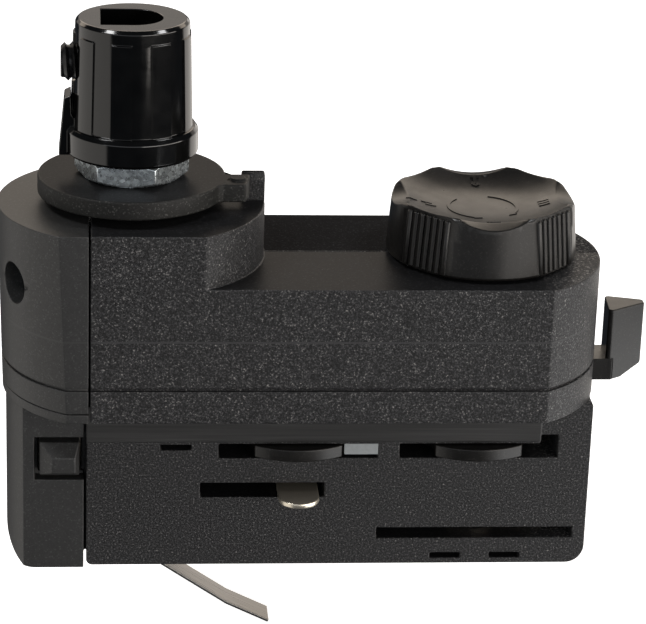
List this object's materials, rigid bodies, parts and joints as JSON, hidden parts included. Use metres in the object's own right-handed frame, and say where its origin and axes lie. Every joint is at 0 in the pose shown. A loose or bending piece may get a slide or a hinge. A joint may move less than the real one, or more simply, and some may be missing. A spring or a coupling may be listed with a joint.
{
  "type": "track light adapter",
  "caption": "Three-circuit track light adapter with a swivel cord grip, a circuit selector knob, a locking lever and an earth spring under its track insert.",
  "frame": {"origin": "on the swivel axis, in the plane of the flange underside that seats on the track", "axes": "+Z along the swivel axis away from the track, +X from the swivel to the locking lever, -Y the front face of the picture"},
  "size_m": [0.1027, 0.035, 0.1015],
  "materials": {
    "grain_plastic": "spark-eroded matt grain, dark grey-black",
    "smooth_plastic": "smooth matt, dark grey-black",
    "disc_plastic": "fine matt",
    "gloss_plastic": "polished mould, black",
    "knob_plastic": "satin black",
    "black_steel": "blackened steel",
    "zinc_steel": "bright zinc plate",
    "spring_steel": "rolled stainless strip",
    "pale_steel": "plain sheet",
    "tinned_brass": "tinned, rubbed at the edge",
    "terminal_plastic": "plain moulded"
  },
  "bodies": {
    "housing": {"housing_front": "grain_plastic", "housing_back": "grain_plastic", "end_cover": "smooth_plastic", "end_block": "smooth_plastic", "cover_screw": "zinc_steel", "terminal_block": "terminal_plastic", "terminal_screws": "spring_steel", "wear_plate": "pale_steel", "latch_spring": "spring_steel"},
    "swivel": {"swivel_disc": "disc_plastic", "swivel_nipple": "zinc_steel", "swivel_nut": "zinc_steel", "nipple_locknut": "zinc_steel", "spring_washer": "zinc_steel", "cord_grip": "gloss_plastic"},
    "clamp": {"clamp_screw": "black_steel"},
    "selector": {"selector_knob": "knob_plastic", "selector_shaft": "knob_plastic", "phase_contact_low": "tinned_brass", "phase_contact_mid": "tinned_brass"},
    "lever": {"locking_lever": "knob_plastic", "lever_lock_cam": "knob_plastic"},
    "neutral": {"neutral_rotor": "knob_plastic", "neutral_lock_cam": "knob_plastic", "neutral_contact": "tinned_brass"},
    "earth": {"earth_spring": "spring_steel"},
    "front_latch": {"latch_wedge_front": "smooth_plastic"},
    "back_latch": {"latch_wedge_back": "smooth_plastic"}
  },
  "joints": [
    {"name": "swivel_turn", "type": "hinge", "parent": "housing", "child": "swivel", "pos_m": [0, 0, 0.0304], "axis": [0, 0, 1], "range_deg": [-328, 0]},
    {"name": "clamp_press", "type": "slide", "parent": "swivel", "child": "clamp", "axis": [1, 0, 0], "range_m": [0, 0.0016]},
    {"name": "selector_turn", "type": "hinge", "parent": "housing", "child": "selector", "pos_m": [0.055, 0, 0.022], "axis": [0, 0, 1], "range_deg": [-90, 90]},
    {"name": "lever_swing", "type": "hinge", "parent": "housing", "child": "lever", "pos_m": [0.055, 0, 0.003], "axis": [0, 0, 1], "range_deg": [0, 90]},
    {"name": "neutral_turn", "type": "hinge", "parent": "housing", "child": "neutral", "pos_m": [0.0264, 0, 0.003], "axis": [0, 0, 1], "range_deg": [-90, 0]},
    {"name": "earth_flex", "type": "hinge", "parent": "housing", "child": "earth", "pos_m": [-0.001, 0, -0.0268], "axis": [0, -1, 0], "range_deg": [0, 24], "stiffness_Nm_per_rad": 0.03},
    {"name": "front_latch_press", "type": "slide", "parent": "housing", "child": "front_latch", "axis": [0, 1, 0], "range_m": [0, 0.0016], "stiffness_N_per_m": 300},
    {"name": "back_latch_press", "type": "slide", "parent": "housing", "child": "back_latch", "axis": [0, -1, 0], "range_m": [0, 0.0016], "stiffness_N_per_m": 300}
  ],
  "couplings": [
    {"joint": "neutral_turn", "follows": "lever_swing", "ratio": -1}
  ]
}
